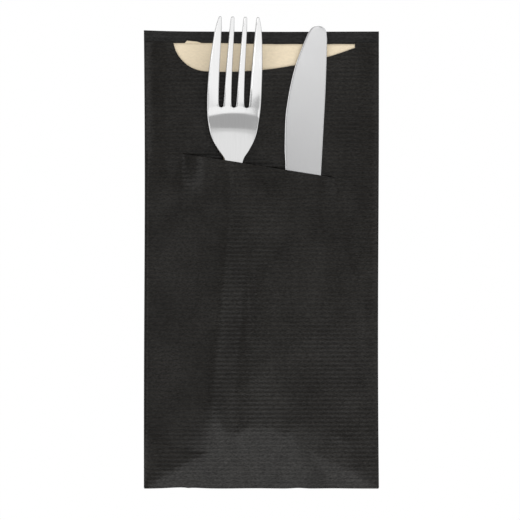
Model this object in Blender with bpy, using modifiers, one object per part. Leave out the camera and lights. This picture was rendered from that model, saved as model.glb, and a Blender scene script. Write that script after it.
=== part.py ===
"""Ribbed black paper cutlery pouch holding a folded cream napkin, a fork and a knife.

Metres, +Z up. The pouch lies on its back: +X to its right, +Y towards its open top and +Z out
of its front panel. The origin is the middle of the back, on the face of the glued seam.
Lengths called "up" run from the bottom fold towards the open top, and those called
"from_tip" run from the tips of the fork or the knife towards the end of its handle.
"""

import functools
import math

import bmesh
import bpy

# Paper of the pouch: one sheet folded to a flat tube, glued down the back and at the bottom
POUCH_WIDTH = 0.108
POUCH_LENGTH = 0.210
PAPER = 0.00015
SEAM_WIDTH = 0.012
FLAP_LENGTH = 0.016
FLAP_CORNER = 0.006
LIP = 0.0048  # the back stands this far above the front panel's top edge
STRIP = 0.0018  # side and bottom edges where front and back lie together

# Gap between things that touch, and how far a cutter passes what it cuts
CLEARANCE = 0.0003
REACH = 0.002
SKIM = 0.00002

# Thumb notch in the front panel's top edge: one wide arc, with a tight one at its left end
NOTCH_RIGHT = 0.0428
NOTCH_DEEPEST = -0.0172
NOTCH_DEPTH = 0.0138
NOTCH_RADIUS = 0.168
NOTCH_END = -0.0250  # centre of the tight arc
NOTCH_END_RADIUS = 0.0155

# Slit across the front panel, a straight cut that falls to the right
SLIT_LEFT = -0.0369
SLIT_RIGHT = 0.0343
SLIT_UP = 0.1481  # where it crosses the centre line
SLIT_FALL = 0.1573  # drop for each metre to the right
SLIT_GAP = 0.0003
SLIT_HOLD = 0.045  # how far below the slit its ends still hold the panel down

# Napkin folded in eight, drawn as four double leaves
LEAF = 0.00036
LEAF_GAP = 0.00005
NAPKIN_MARGIN = 0.004  # the pouch beyond it at each side
NAPKIN_UP = 0.0047  # its lower edge above the bottom fold
NAPKIN_DOWN = 0.0053  # its upper edge below the pouch's

# How the front panel stands over what it holds
PILLOW_POWER = 1.5
KNEE_LEFT = -0.020
KNEE_RIGHT = 0.028
FACET_SLOPE = 0.24  # the panel's rise from the bottom fold
RIDGE_SLOPE = 0.55  # the panel's fall to the right of the fork
SOFTNESS = 0.0006
COVER = 0.002  # how far past a handle the panel keeps clear of it

# Fork: a rolled blank, dished at the head and arched at the neck, as (from_tip, size) stations
FORK_LENGTH = 0.190
FORK_BOWL = (-0.0130, 0.1693)  # across and up, at the lowest point of the head
FORK_BOWL_FROM_TIP = 0.0478
FORK_ROLL = math.radians(11.5)
FORK_YAW = math.radians(-1.0)
FORK_WIDTH = (
    (0.0, 0.0186), (0.0074, 0.0219), (0.027, 0.0251), (0.037, 0.0254), (0.0432, 0.0250),
    (0.0524, 0.0226), (0.057, 0.0197), (0.0616, 0.0146), (0.0662, 0.0088), (0.072, 0.0068),
    (0.082, 0.0062), (0.100, 0.0070), (0.130, 0.0102), (0.160, 0.0142), (0.178, 0.0164),
)
FORK_HEIGHT = (
    (0.0, 0.0100), (0.0074, 0.0081), (0.027, 0.0029), (0.034, 0.0016), (0.041, 0.00065),
    (0.0478, 0.0), (0.057, 0.00085), (0.066, 0.0031), (0.078, 0.0042), (0.100, 0.0039),
    (0.130, 0.0027), (0.160, 0.0012), (0.190, 0.0),
)
FORK_THICKNESS = (
    (0.0, 0.0012), (0.020, 0.0017), (0.050, 0.0018), (0.070, 0.0026), (0.090, 0.0026),
    (0.130, 0.0022), (0.190, 0.0018),
)
FORK_DISH = ((0.0, 0.0003), (0.025, 0.0005), (0.048, 0.0005), (0.066, 0.0), (0.190, 0.0))
FORK_RIM = 0.55  # thickness at the rim as a share of the middle's
FORK_END_ROUND = 0.010
SLOT_SPACING = 0.00595
SLOT_ROOT = 0.0423
SLOT_ROUND = 0.0012
SLOT_WIDTH = ((0.0, 0.0044), (0.0074, 0.0037), (0.027, 0.0029), (0.034, 0.0026), (0.0423, 0.0021))
HEAD_FROM_TIP = 0.068

# Knife: one forging, lying flat, as (from_tip, side) stations off the line of the spine
KNIFE_LENGTH = 0.188
KNIFE_TIP = (0.0311, 0.2124)  # across and up, where the line of the spine ends
KNIFE_YAW = math.radians(-3.15)
BLADE_LENGTH = 0.098
BLADE_SPINE = 0.0018
BLADE_EDGE = 0.0005
BLADE_POINT = 0.0011
HANDLE_THICKNESS = ((0.108, 0.0030), (0.178, 0.0038))
HANDLE_RIM = 0.5
KNIFE_BELLY = (
    (0.0, -0.0052), (0.0010, -0.0078), (0.0027, -0.0091), (0.0063, -0.0106), (0.0178, -0.0143),
    (0.0247, -0.0158), (0.0339, -0.0171), (0.0431, -0.0178), (0.0569, -0.0174), (0.0638, -0.0167),
    (0.085, -0.0156), (0.098, -0.0149), (0.104, -0.0126), (0.120, -0.0130), (0.150, -0.0148),
    (0.182, -0.0160),
)
KNIFE_BACK = (
    (0.0, -0.0042), (0.0010, -0.0020), (0.0027, -0.0011), (0.0063, -0.0006), (0.0155, -0.0003),
    (0.034, 0.0), (0.098, 0.0), (0.104, -0.0016), (0.120, -0.0012), (0.150, -0.0002),
    (0.182, 0.0006),
)
KNIFE_END_ROUND = 0.010

# Heights that follow from the stack of back, napkin and front panel
BACK_OUT = PAPER
BACK_IN = BACK_OUT + PAPER
NAPKIN_WIDTH = POUCH_WIDTH - 2 * NAPKIN_MARGIN
NAPKIN_LENGTH = POUCH_LENGTH - NAPKIN_UP - NAPKIN_DOWN
LEAF_PITCH = LEAF + LEAF_GAP
NAPKIN_LOW = BACK_IN + CLEARANCE
NAPKIN_TOP = NAPKIN_LOW + 3 * LEAF_PITCH + LEAF
PANEL_LOW = NAPKIN_TOP + CLEARANCE + PAPER
EDGE_TOP = BACK_IN + CLEARANCE + PAPER
BOTTOM = -POUCH_LENGTH / 2
TOP = POUCH_LENGTH / 2
FORK_END_UP = FORK_BOWL[1] + FORK_BOWL_FROM_TIP - FORK_LENGTH
KNIFE_END_UP = KNIFE_TIP[1] - KNIFE_LENGTH

# Mesh density
PANEL_COLUMNS = 32
ROWS_BELOW_SLIT = 26
ROWS_ABOVE_SLIT = 8
NOTCH_STEPS = 14
NOTCH_END_STEPS = 8
FOLD_STEPS = 6
CUTTER_TOP = 0.030
SHARP = math.radians(35)
LEVEL = -0.999  # a face whose normal points further down than this is flat underneath
BLUNT = 0.14  # share of the width that a rounded end still has at its last row


def clamp(value, low=0.0, high=1.0):
    return max(low, min(high, value))


def mix(first, second, share):
    return first + (second - first) * share


def ease(share):
    share = clamp(share)
    return share * share * (3 - 2 * share)


def higher_of(first, second):
    """The greater of two rises, rounded where they cross, and nothing where both are nothing."""
    softness = min(SOFTNESS, max(first, second, 0.0) / 2)
    return (first + second + math.hypot(first - second, softness)) / 2


def lower_of(first, second):
    return (first + second - math.hypot(first - second, SOFTNESS)) / 2


def through(stations, place):
    """A smooth curve through (place, value) stations, with no overshoot between them."""
    if place <= stations[0][0]:
        return stations[0][1]
    if place >= stations[-1][0]:
        return stations[-1][1]
    steps = [
        (after[1] - before[1]) / (after[0] - before[0])
        for before, after in zip(stations, stations[1:])
    ]
    slopes = [steps[0]]
    for before, after in zip(steps, steps[1:]):
        slopes.append(0.0 if before * after <= 0 else 2 * before * after / (before + after))
    slopes.append(steps[-1])
    index = next(i for i in range(len(steps)) if place <= stations[i + 1][0])
    span = stations[index + 1][0] - stations[index][0]
    share = (place - stations[index][0]) / span
    rest = 1 - share
    return (
        stations[index][1] * rest * rest * (1 + 2 * share)
        + stations[index + 1][1] * share * share * (1 + 2 * rest)
        + slopes[index] * span * share * rest * rest
        - slopes[index + 1] * span * share * share * rest
    )


def end_round(from_end, radius):
    """Share of the full width left this far from a rounded end."""
    if from_end >= radius:
        return 1.0
    return math.sqrt(max(BLUNT**2, 1 - (1 - from_end / radius) ** 2))


# Collections, materials, meshes and cutters


def new_collection(name):
    collection = bpy.data.collections.new(name)
    bpy.context.scene.collection.children.link(collection)
    return collection


def new_material(name, color, roughness, metallic):
    material = bpy.data.materials.new(name)
    material.use_nodes = True
    shader = material.node_tree.nodes["Principled BSDF"]
    shader.inputs["Base Color"].default_value = (*color, 1.0)
    shader.inputs["Roughness"].default_value = roughness
    shader.inputs["Metallic"].default_value = metallic
    return material


def mesh_from(build, name):
    mesh = bpy.data.meshes.new(name)
    build.to_mesh(mesh)
    build.free()
    return mesh


def new_part(name, mesh, collection, material):
    obj = bpy.data.objects.new(name, mesh)
    collection.objects.link(obj)
    mesh.materials.append(material)
    mesh.shade_smooth()
    mesh.set_sharp_from_angle(angle=SHARP)
    return obj


def new_cutter(name, mesh, collection):
    cutter = bpy.data.objects.new(name, mesh)
    collection.objects.link(cutter)
    cutter.hide_render = True
    cutter.display_type = "WIRE"
    return cutter


def add_boolean(obj, cutter, operation):
    modifier = obj.modifiers.new(cutter.name, "BOOLEAN")
    modifier.operation = operation
    modifier.solver = "EXACT"
    modifier.object = cutter


def prism_mesh(name, outline, low, high):
    """A flat outline of (x, y) points, drawn up from low to high."""
    build = bmesh.new()
    face = build.faces.new([build.verts.new((x, y, low)) for x, y in outline])
    drawn = bmesh.ops.extrude_face_region(build, geom=[face])
    raised = [item for item in drawn["geom"] if isinstance(item, bmesh.types.BMVert)]
    bmesh.ops.translate(build, vec=(0, 0, high - low), verts=raised)
    bmesh.ops.recalc_face_normals(build, faces=build.faces)
    return mesh_from(build, name)


def rectangle(left, right, low, high):
    return [(left, low), (right, low), (right, high), (left, high)]


def new_grid(columns, rows, place):
    """A flat grid whose points go where place(column, row) says."""
    build = bmesh.new()
    bmesh.ops.create_grid(build, x_segments=columns, y_segments=rows, size=1.0)
    for vert in build.verts:
        column = round((vert.co.x + 1) / 2 * columns)
        row = round((vert.co.y + 1) / 2 * rows)
        vert.co.x, vert.co.y = place(column, row)
        vert.co.z = 0.0
    return build


def thicken(build, height_top, height_low):
    """Draws a flat grid up into a solid between two height functions."""
    lower = list(build.verts)
    drawn = bmesh.ops.extrude_face_region(build, geom=list(build.faces))
    for item in drawn["geom"]:
        if isinstance(item, bmesh.types.BMVert):
            item.co.z = height_top(item.co.x, item.co.y)
    for vert in lower:
        vert.co.z = height_low(vert.co.x, vert.co.y)
    bmesh.ops.recalc_face_normals(build, faces=build.faces)


# Fork, in its own frame: tips at y = 0, handle towards -y, hollow of the bowl facing up


def fork_half(from_tip):
    full = through(FORK_WIDTH, from_tip) / 2
    return full * end_round(FORK_LENGTH - from_tip, FORK_END_ROUND)


def slot_edges(from_tip):
    half = through(SLOT_WIDTH, from_tip) / 2
    centres = (-SLOT_SPACING, 0.0, SLOT_SPACING)
    return [side for centre in centres for side in (centre - half, centre + half)]


def fork_lines(from_tip):
    """x of the fifteen lines that run along the fork: rims, slot edges and the middles between."""
    half = fork_half(from_tip)
    edges = [-half, *slot_edges(from_tip), half]
    lines = [edges[0]]
    for left, right in zip(edges, edges[1:]):
        lines += [(left + right) / 2, right]
    even = [mix(-half, half, index / (len(lines) - 1)) for index in range(len(lines))]
    head = 1 - ease((from_tip - FORK_BOWL_FROM_TIP) / (HEAD_FROM_TIP - FORK_BOWL_FROM_TIP))
    return [mix(plain, line, head) for plain, line in zip(even, lines)]


def fork_crown(x, from_tip):
    """Share of the full thickness, least at the rims and along the tines."""
    half = fork_half(from_tip)
    whole = math.sqrt(max(0.0, 1 - (x / half) ** 2))
    edges = [-half, *slot_edges(from_tip), half]
    tine = 0.0
    for left, right in zip(edges[::2], edges[1::2]):
        if left < x < right:
            tine = math.sqrt(1 - ((2 * x - left - right) / (right - left)) ** 2)
    whole = mix(tine, whole, ease((from_tip - SLOT_ROOT) / SLOT_SPACING))
    return mix(FORK_RIM, 1.0, whole)


def fork_face(x, from_tip, side):
    """Height of the fork's top (side 1) or underside (side -1)."""
    dish = through(FORK_DISH, from_tip) * (x / fork_half(from_tip)) ** 2
    thick = through(FORK_THICKNESS, from_tip) * fork_crown(x, from_tip)
    return through(FORK_HEIGHT, from_tip) + dish + side * thick / 2


def fork_rows():
    tines = [SLOT_ROOT * share for share in (0, 0.03, 0.1, 0.2, 0.33, 0.47, 0.61, 0.75, 0.88, 0.96)]
    head = [mix(SLOT_ROOT, HEAD_FROM_TIP, share / 8) for share in range(8)]
    handle_end = FORK_LENGTH - FORK_END_ROUND
    handle = [mix(HEAD_FROM_TIP, handle_end, share / 12) for share in range(13)]
    end = [FORK_LENGTH - FORK_END_ROUND * share for share in (0.6, 0.3, 0.1, 0.0)]
    return tines + head + handle + end, len(tines)


@functools.cache
def lowest_of_head():
    """Lowest point under the rolled head, against the middle of the bowl."""
    lowest = 0.0
    for row in range(33):
        from_tip = mix(0.0, HEAD_FROM_TIP, row / 32)
        for x in fork_lines(from_tip):
            under = fork_face(x, from_tip, -1)
            lowest = min(lowest, under * math.cos(FORK_ROLL) - x * math.sin(FORK_ROLL))
    return lowest


def make_fork(collection, material):
    rows, root = fork_rows()
    columns = len(fork_lines(0.0)) - 1

    def place(column, row):
        from_tip = rows[row]
        x = fork_lines(from_tip)[column]
        if row == root and column % 4 != 3 and column % 2 == 0:
            from_tip -= SLOT_ROUND
        return x, -from_tip

    build = new_grid(columns, len(rows) - 1, place)
    slots = []
    for face in build.faces:
        middle = face.calc_center_median()
        edges = slot_edges(-middle.y)
        in_slot = any(left < middle.x < right for left, right in zip(edges[::2], edges[1::2]))
        if in_slot and -middle.y < SLOT_ROOT:
            slots.append(face)
    bmesh.ops.delete(build, geom=slots, context="FACES")
    thicken(build, lambda x, y: fork_face(x, -y, 1), lambda x, y: fork_face(x, -y, -1))
    fork = new_part("fork", mesh_from(build, "fork"), collection, material)
    fork.rotation_mode = "XYZ"
    fork.rotation_euler = (0.0, FORK_ROLL, FORK_YAW)
    fork.location = (
        FORK_BOWL[0] - FORK_BOWL_FROM_TIP * math.sin(FORK_YAW),
        BOTTOM + FORK_BOWL[1] + FORK_BOWL_FROM_TIP * math.cos(FORK_YAW),
        PANEL_LOW + CLEARANCE - lowest_of_head(),
    )
    return fork


@functools.cache
def fork_ridge(up):
    """The fork's raised left edge at this height: across, and its top."""
    along = (up - FORK_BOWL[1]) / math.cos(FORK_YAW)
    from_tip = clamp(FORK_BOWL_FROM_TIP - along, 0.0, FORK_LENGTH - FORK_END_ROUND / 3)
    half = fork_half(from_tip)
    lift = fork_face(0.0, from_tip, 1)
    across = FORK_BOWL[0] - along * math.sin(FORK_YAW) - half * math.cos(FORK_ROLL)
    base = PANEL_LOW + CLEARANCE - lowest_of_head()
    return across + lift * math.sin(FORK_ROLL), base + lift + half * math.sin(FORK_ROLL)


# Knife, in its own frame: spine on x = 0, tip at y = 0, handle towards -y


def knife_sides(from_tip):
    belly, back = through(KNIFE_BELLY, from_tip), through(KNIFE_BACK, from_tip)
    share = end_round(KNIFE_LENGTH - from_tip, KNIFE_END_ROUND)
    middle = (belly + back) / 2
    return mix(middle, belly, share), mix(middle, back, share)


def knife_thickness(x, from_tip):
    belly, back = knife_sides(from_tip)
    across = clamp((x - belly) / (back - belly))
    blade = mix(BLADE_EDGE, mix(BLADE_POINT, BLADE_SPINE, from_tip / BLADE_LENGTH), across)
    crown = mix(HANDLE_RIM, 1.0, math.sqrt(max(0.0, 1 - (2 * across - 1) ** 2)))
    handle = through(HANDLE_THICKNESS, from_tip) * crown
    return mix(blade, handle, ease((from_tip - BLADE_LENGTH) / KNIFE_END_ROUND))


def knife_rows():
    point = [0.0, 0.0010, 0.0027, 0.0063, 0.0115]
    blade = [mix(0.0178, BLADE_LENGTH, share / 9) for share in range(9)]
    bolster = [BLADE_LENGTH + KNIFE_END_ROUND * share for share in (0.0, 0.3, 0.6, 1.0)]
    handle_end = KNIFE_LENGTH - KNIFE_END_ROUND
    handle = [mix(bolster[-1], handle_end, share / 6) for share in range(1, 7)]
    end = [KNIFE_LENGTH - KNIFE_END_ROUND * share for share in (0.6, 0.3, 0.1, 0.0)]
    return point + blade + bolster + handle + end


def make_knife(collection, material):
    rows = knife_rows()
    columns = 8

    def place(column, row):
        belly, back = knife_sides(rows[row])
        return mix(belly, back, column / columns), -rows[row]

    build = new_grid(columns, len(rows) - 1, place)
    thicken(
        build,
        lambda x, y: knife_thickness(x, -y) / 2,
        lambda x, y: -knife_thickness(x, -y) / 2,
    )
    knife = new_part("knife", mesh_from(build, "knife"), collection, material)
    knife.rotation_euler = (knife_pitch(), 0.0, KNIFE_YAW)
    knife.location = (KNIFE_TIP[0], BOTTOM + KNIFE_TIP[1], knife_tip_z())
    return knife


def knife_tip_z():
    return PANEL_LOW + CLEARANCE + BLADE_POINT / 2


def knife_pitch():
    """The end of the handle lies on the napkin and the point on the panel above the slit."""
    from_tip, thick = HANDLE_THICKNESS[-1]
    return -math.asin((NAPKIN_TOP + CLEARANCE + thick / 2 - knife_tip_z()) / from_tip)


@functools.cache
def knife_top(up):
    from_tip = clamp(KNIFE_TIP[1] - up, 0.0, KNIFE_LENGTH - KNIFE_END_ROUND)
    middle = knife_tip_z() - math.sin(knife_pitch()) * from_tip
    belly, back = knife_sides(from_tip)
    thick = max(knife_thickness((belly + back) / 2, from_tip), knife_thickness(back, from_tip))
    return middle + thick / 2


# Pouch


def slit_up(x):
    return SLIT_UP - SLIT_FALL * x


def side_rise(x, up):
    """From 0 at the side and bottom edges to 1 over the napkin."""
    side = (POUCH_WIDTH / 2 - STRIP - abs(x)) / (POUCH_WIDTH / 2 - STRIP - NAPKIN_WIDTH / 2 - CLEARANCE)
    low = (up - STRIP) / (NAPKIN_UP - CLEARANCE - STRIP)
    return min(clamp(side), clamp(low))


def pillow(x, up):
    """Rise of the panel over the napkin: it swells up to the knife's level between the knees."""
    near = math.exp(-(((slit_up(x) - up) / SLIT_HOLD) ** 2))
    foot_left = mix(-NAPKIN_WIDTH / 2, SLIT_LEFT, near)
    foot_right = mix(NAPKIN_WIDTH / 2, SLIT_RIGHT, near)
    left = clamp((KNEE_LEFT - x) / (KNEE_LEFT - foot_left))
    right = clamp((x - KNEE_RIGHT) / (foot_right - KNEE_RIGHT))
    crest = knife_top(up) + CLEARANCE + PAPER - PANEL_LOW
    return crest * (1 - max(left, right) ** PILLOW_POWER)


def ridge(x, up):
    """Rise over the fork: down to the slit's left end on one side, steeper on the other."""
    across, top = fork_ridge(up)
    top += CLEARANCE + PAPER - PANEL_LOW
    if x < across:
        return top * clamp((x - SLIT_LEFT) / (across - SLIT_LEFT))
    width = 2 * (FORK_BOWL[0] - across)
    on_fork = min(x - across, width)
    return top - on_fork * math.tan(FORK_ROLL) - max(0.0, x - across - width) * RIDGE_SLOPE


def over_handles(x, up):
    """The least height that clears the fork and the knife here."""
    height = PANEL_LOW
    across, top = fork_ridge(up)
    if across - COVER < x < 2 * FORK_BOWL[0] - across + COVER and up > FORK_END_UP - COVER:
        height = top - max(0.0, x - across) * math.tan(FORK_ROLL) + CLEARANCE + PAPER
    belly, back = knife_sides(KNIFE_TIP[1] - up)
    spine = KNIFE_TIP[0] + (KNIFE_TIP[1] - up) * math.tan(KNIFE_YAW)
    if belly - COVER < x - spine < back + COVER and up > KNIFE_END_UP - COVER:
        height = max(height, knife_top(up) + CLEARANCE + PAPER)
    return height


def front_height(x, up):
    """Outer face of the front panel above the table."""
    height = PANEL_LOW
    if up < slit_up(x) + SLIT_GAP / 2:
        facet = FACET_SLOPE * (up - NAPKIN_UP)
        rise = lower_of(higher_of(pillow(x, up), ridge(x, up)), facet)
        height = max(over_handles(x, up), PANEL_LOW + rise)
    return mix(EDGE_TOP, height, side_rise(x, up))


def panel_mesh(name, inset, below):
    """The space under the front panel: the whole pouch, or the hollow in it, a paper inside."""
    flat = POUCH_WIDTH / 2 - STRIP
    over_napkin = NAPKIN_WIDTH / 2 + CLEARANCE
    inner = [mix(-over_napkin, over_napkin, index / PANEL_COLUMNS) for index in range(PANEL_COLUMNS + 1)]
    edge = POUCH_WIDTH / 2 - inset
    across = [-edge, -flat, *inner, flat, edge]
    top = POUCH_LENGTH + (REACH if inset else 0.0)
    rows_low = [inset, STRIP]

    def place(column, row):
        x = across[column]
        if row < len(rows_low):
            return x, BOTTOM + rows_low[row]
        row -= len(rows_low)
        if row <= ROWS_BELOW_SLIT:
            return x, BOTTOM + mix(NAPKIN_UP - CLEARANCE, slit_up(x), row / ROWS_BELOW_SLIT)
        share = (row - ROWS_BELOW_SLIT - 1) / ROWS_ABOVE_SLIT
        return x, BOTTOM + mix(slit_up(x) + SLIT_GAP, top, share)

    rows = len(rows_low) + ROWS_BELOW_SLIT + 1 + ROWS_ABOVE_SLIT
    build = new_grid(len(across) - 1, rows, place)
    thicken(build, lambda x, y: front_height(x, y - BOTTOM) - inset, lambda x, y: below)
    flat_faces = [face for face in build.faces if face.normal.z < LEVEL]
    flat_edges = {
        edge for face in flat_faces for edge in face.edges
        if all(other.normal.z < LEVEL for other in edge.link_faces)
    }
    bmesh.ops.dissolve_edges(build, edges=list(flat_edges), use_verts=True)
    return mesh_from(build, name)


def notch_outline():
    """The wide arc from the right, the tight arc at the left, closed above the panel's edge."""
    edge = TOP - LIP
    wide_y = edge - NOTCH_DEPTH + NOTCH_RADIUS
    inner = NOTCH_RADIUS - NOTCH_END_RADIUS
    end_y = wide_y - math.sqrt(inner**2 - (NOTCH_END - NOTCH_DEEPEST) ** 2)
    meet = math.atan2(end_y - wide_y, NOTCH_END - NOTCH_DEEPEST)
    start = -math.acos((NOTCH_RIGHT - NOTCH_DEEPEST) / NOTCH_RADIUS)
    points = [(NOTCH_RIGHT, TOP + REACH)]
    for step in range(NOTCH_STEPS + 1):
        angle = mix(start, meet, step / NOTCH_STEPS)
        points.append(
            (NOTCH_DEEPEST + NOTCH_RADIUS * math.cos(angle), wide_y + NOTCH_RADIUS * math.sin(angle))
        )
    last = -math.pi
    for step in range(1, NOTCH_END_STEPS + 1):
        angle = mix(meet, last, step / NOTCH_END_STEPS)
        points.append(
            (NOTCH_END + NOTCH_END_RADIUS * math.cos(angle), end_y + NOTCH_END_RADIUS * math.sin(angle))
        )
    points.append((NOTCH_END - NOTCH_END_RADIUS, TOP + REACH))
    return points


def slit_outline():
    low, high = -SKIM, SLIT_GAP + SKIM
    return [
        (SLIT_LEFT, BOTTOM + slit_up(SLIT_LEFT) + low),
        (SLIT_RIGHT, BOTTOM + slit_up(SLIT_RIGHT) + low),
        (SLIT_RIGHT, BOTTOM + slit_up(SLIT_RIGHT) + high),
        (SLIT_LEFT, BOTTOM + slit_up(SLIT_LEFT) + high),
    ]


def flap_outline():
    half = POUCH_WIDTH / 2 - SKIM
    low, high = BOTTOM + SKIM, BOTTOM + FLAP_LENGTH
    return [
        (-half, low), (half, low), (half, high - FLAP_CORNER), (half - FLAP_CORNER, high),
        (FLAP_CORNER - half, high), (-half, high - FLAP_CORNER),
    ]


def make_pouch(collection, cutters, material):
    pouch = new_part("pouch", panel_mesh("pouch", 0.0, BACK_OUT), collection, material)
    half_seam = SEAM_WIDTH / 2
    wide = POUCH_WIDTH / 2 + REACH
    glued = BACK_OUT + PAPER / 2
    under_panel = PANEL_LOW - PAPER - CLEARANCE / 2
    pieces = (
        ("seam", prism_mesh("seam", rectangle(-half_seam, half_seam, BOTTOM + SKIM, TOP - SKIM),
                            0.0, glued), "UNION"),
        ("flap", prism_mesh("flap", flap_outline(), 0.0, glued + SKIM), "UNION"),
        ("hollow", panel_mesh("hollow", PAPER, BACK_IN), "DIFFERENCE"),
        ("lip_cut", prism_mesh("lip_cut", rectangle(-wide, wide, TOP - LIP, TOP + 2 * REACH),
                               BACK_IN + SKIM, CUTTER_TOP), "DIFFERENCE"),
        ("notch_cut", prism_mesh("notch_cut", notch_outline(), under_panel, CUTTER_TOP), "DIFFERENCE"),
        ("slit_cut", prism_mesh("slit_cut", slit_outline(), under_panel, CUTTER_TOP), "DIFFERENCE"),
    )
    for name, mesh, operation in pieces:
        add_boolean(pouch, new_cutter(name, mesh, cutters), operation)
    return pouch


# Napkin


def napkin_path():
    """Section of a sheet folded in half twice: x and z from its free edge to the other."""
    half = NAPKIN_WIDTH / 2
    layer = [NAPKIN_LOW + LEAF / 2 + index * LEAF_PITCH for index in range(4)]
    right = half - LEAF / 2 - (layer[3] - layer[0]) / 2
    left = -half + LEAF / 2 + LEAF_PITCH / 2
    turns = (
        (layer[0], layer[3], 1, right),
        (layer[3], layer[2], -1, left),
        (layer[2], layer[1], 1, right),
    )
    points = [(-half + LEAF_PITCH, layer[0])]
    for start, end, side, centre in turns:
        radius = abs(end - start) / 2
        for step in range(FOLD_STEPS + 1):
            angle = math.pi * step / FOLD_STEPS
            height = (start + end) / 2 - math.cos(angle) * (end - start) / 2
            points.append((centre + side * radius * math.sin(angle), height))
    points.append((-half + LEAF_PITCH, layer[1]))
    return points


def make_napkin(collection, material):
    build = bmesh.new()
    low = BOTTOM + NAPKIN_UP
    verts = [build.verts.new((x, low, z)) for x, z in napkin_path()]
    edges = [build.edges.new(pair) for pair in zip(verts, verts[1:])]
    drawn = bmesh.ops.extrude_edge_only(build, edges=edges)
    raised = [item for item in drawn["geom"] if isinstance(item, bmesh.types.BMVert)]
    bmesh.ops.translate(build, vec=(0, NAPKIN_LENGTH, 0), verts=raised)
    bmesh.ops.recalc_face_normals(build, faces=build.faces)
    napkin = new_part("napkin", mesh_from(build, "napkin"), collection, material)
    leaf = napkin.modifiers.new("leaf", "SOLIDIFY")
    leaf.thickness = LEAF
    leaf.offset = 0.0
    leaf.use_even_offset = True
    return napkin


def main():
    for obj in list(bpy.data.objects):
        bpy.data.objects.remove(obj)
    parts = new_collection("cutlery_pouch")
    cutters = new_collection("cutters")
    paper = new_material("black_kraft", (0.025, 0.024, 0.022), 0.7, 0.0)
    tissue = new_material("cream_tissue", (0.76, 0.66, 0.48), 0.95, 0.0)
    steel = new_material("polished_steel", (0.75, 0.75, 0.75), 0.15, 1.0)
    satin = new_material("satin_steel", (0.65, 0.65, 0.66), 0.35, 1.0)
    make_pouch(parts, cutters, paper)
    make_napkin(parts, tissue)
    make_fork(parts, steel)
    make_knife(parts, satin)


main()
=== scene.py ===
"""Looks of a ribbed black paper cutlery pouch with a cream napkin, a fork and a knife.

Metres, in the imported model's frame: the pouch lies on its back, +X to its right, +Y towards its
open top and +Z out of its front panel. "Up" runs from the bottom fold towards the open top, and
"from_tip" from the tips of the fork or the knife towards the end of its handle.
"""

import functools
import math

import bmesh
import bpy
import numpy as np
from mathutils import Euler, Matrix, Vector, noise
from mathutils.bvhtree import BVHTree


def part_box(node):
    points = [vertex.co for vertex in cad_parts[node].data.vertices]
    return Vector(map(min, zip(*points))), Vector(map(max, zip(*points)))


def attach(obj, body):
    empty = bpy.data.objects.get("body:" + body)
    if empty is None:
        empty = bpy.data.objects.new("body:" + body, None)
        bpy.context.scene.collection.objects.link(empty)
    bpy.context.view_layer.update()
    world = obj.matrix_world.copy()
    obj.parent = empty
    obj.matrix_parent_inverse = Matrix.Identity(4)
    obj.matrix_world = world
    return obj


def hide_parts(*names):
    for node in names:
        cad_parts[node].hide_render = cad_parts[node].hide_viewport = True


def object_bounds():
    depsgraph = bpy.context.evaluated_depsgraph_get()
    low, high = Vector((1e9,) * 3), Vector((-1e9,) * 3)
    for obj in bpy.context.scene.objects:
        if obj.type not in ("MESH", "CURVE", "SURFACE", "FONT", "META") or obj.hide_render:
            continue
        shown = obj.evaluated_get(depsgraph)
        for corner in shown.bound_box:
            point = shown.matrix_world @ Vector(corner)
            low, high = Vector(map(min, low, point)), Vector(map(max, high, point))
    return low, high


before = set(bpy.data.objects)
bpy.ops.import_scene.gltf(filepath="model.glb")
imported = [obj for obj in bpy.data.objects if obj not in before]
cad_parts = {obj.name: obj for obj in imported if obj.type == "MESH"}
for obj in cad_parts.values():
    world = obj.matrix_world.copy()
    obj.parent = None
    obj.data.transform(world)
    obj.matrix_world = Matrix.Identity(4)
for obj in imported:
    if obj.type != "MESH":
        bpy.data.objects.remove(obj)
cad_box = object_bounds()

MM = 0.001
SAME = 1e-6  # places closer than this are one place
ON_PLANE = 1e-7  # a point this close to a cutting plane lies on it

# Pouch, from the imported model's box
POUCH_LOW, POUCH_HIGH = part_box("pouch")
NAPKIN_LOW, NAPKIN_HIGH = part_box("napkin")
HALF = POUCH_HIGH.x
LENGTH = POUCH_HIGH.y - POUCH_LOW.y
PAPER = 0.14 * MM
BACK_FACE = 0.15 * MM  # outer face of the back panel over the seam's face
EDGE_TOP = 0.75 * MM  # the front panel's outer face at the side folds
SIDE_BEND = (EDGE_TOP - BACK_FACE) / 2
BOTTOM_BEND = EDGE_TOP / 2
SIDE_TURN = math.pi / 2 * SIDE_BEND  # the paper's way round half of a side fold
BOTTOM_TURN = math.pi / 2 * BOTTOM_BEND
LIP = 4.8 * MM  # how far the front panel ends below the back's top edge
SEAM = 12 * MM
SEAM_STEP = 1.5 * MM
FLAP = 16 * MM
FLAP_CORNER = 6 * MM
STRIP = 4.0 * MM  # the pouch's sides beyond the napkin
STRIP_TOP = 2.00 * MM  # the front panel's outer face where the napkin's edge begins
SIDE_SLOPE = 6.5 * MM  # how wide the rise is from there to the napkin's full thickness
FACET_SLOPE = 0.24  # the lower panel's rise from the bottom fold
FACET_MIDDLE = -1.5 * MM  # across, where the three faces of its lower end meet
FACET_UP = 31 * MM
FLANK_SLOPE = 0.03  # the rise of the two faces beside the facet
FACET_SOFTNESS = 0.35 * MM
HANDLE_COVER = 0.80 * MM  # least height of the front panel's outer face over fork and knife
TENT_SLOPE = 0.22  # how the panel falls away beside them
NAPKIN_COVER = 0.22 * MM  # its least height over the napkin

# Ribs of the paper, across the pouch
RIB = 2.0 * MM
RIB_HEIGHT = 0.09 * MM
FOLD_PRESS = 0.9  # share of the ribs' height that a side fold presses out
ROWS_PER_RIB = 4

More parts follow.
